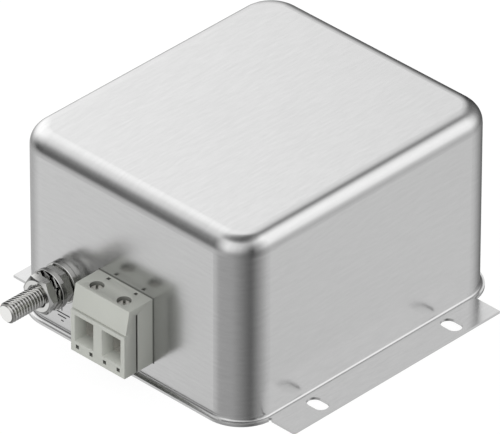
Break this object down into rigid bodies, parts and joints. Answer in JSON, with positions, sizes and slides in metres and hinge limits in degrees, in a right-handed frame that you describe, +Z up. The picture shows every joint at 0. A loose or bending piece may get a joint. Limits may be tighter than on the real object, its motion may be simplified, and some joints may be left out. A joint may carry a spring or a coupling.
{
  "type": "emi line filter",
  "caption": "Mains filter in a drawn steel can with slotted mounting ears, and a screw terminal block and an earth stud at each end.",
  "frame": {"origin": "middle of the mounting plane, under the can", "axes": "+Y from the line terminals to the load terminals, +Z up, away from the mounting plane"},
  "size_m": [0.1054, 0.1416, 0.058],
  "materials": {
    "drawn_steel": "bright brushed, satin reflections",
    "pressed_steel": "satin, as rolled",
    "terminal_plastic": "moulded, pale grey-green, fine matt grain",
    "plated_steel": "bright nickel plated",
    "tinned_copper": "tin plated, satin",
    "board_laminate": "green solder mask",
    "liner_film": "insulating sheet",
    "black_plastic": "moulded, black",
    "coated_ferrite": "epoxy coated toroid",
    "enamelled_wire": "enamelled copper",
    "x_capacitor_case": "moulded box case",
    "y_capacitor_case": "moulded box case",
    "resistor_coating": "lacquered"
  },
  "bodies": {
    "root": {"can": "drawn_steel", "base_cover": "pressed_steel", "insulating_sheet": "liner_film", "board_spacers": "black_plastic", "circuit_board": "board_laminate", "choke_base": "black_plastic", "choke_core": "coated_ferrite", "choke_separator": "liner_film", "choke_winding_left": "enamelled_wire", "choke_winding_right": "enamelled_wire", "bleed_resistor": "resistor_coating", "line_terminal_housing": "terminal_plastic", "line_contact_bars": "tinned_copper", "line_clamp_nuts": "plated_steel", "line_clamp_screws": "plated_steel", "line_earth_strap": "tinned_copper", "line_earth_stud": "plated_steel", "line_inner_washer": "plated_steel", "line_wall_washer": "plated_steel", "line_inner_nut": "plated_steel", "line_flat_washer": "plated_steel", "line_toothed_washer": "plated_steel", "line_outer_nut": "plated_steel", "line_x_capacitor": "x_capacitor_case", "line_y_capacitors": "y_capacitor_case", "load_terminal_housing": "terminal_plastic", "load_contact_bars": "tinned_copper", "load_clamp_nuts": "plated_steel", "load_clamp_screws": "plated_steel", "load_earth_strap": "tinned_copper", "load_earth_stud": "plated_steel", "load_inner_washer": "plated_steel", "load_wall_washer": "plated_steel", "load_inner_nut": "plated_steel", "load_flat_washer": "plated_steel", "load_toothed_washer": "plated_steel", "load_outer_nut": "plated_steel", "load_x_capacitor": "x_capacitor_case", "load_y_capacitors": "y_capacitor_case"}
  },
  "joints": []
}
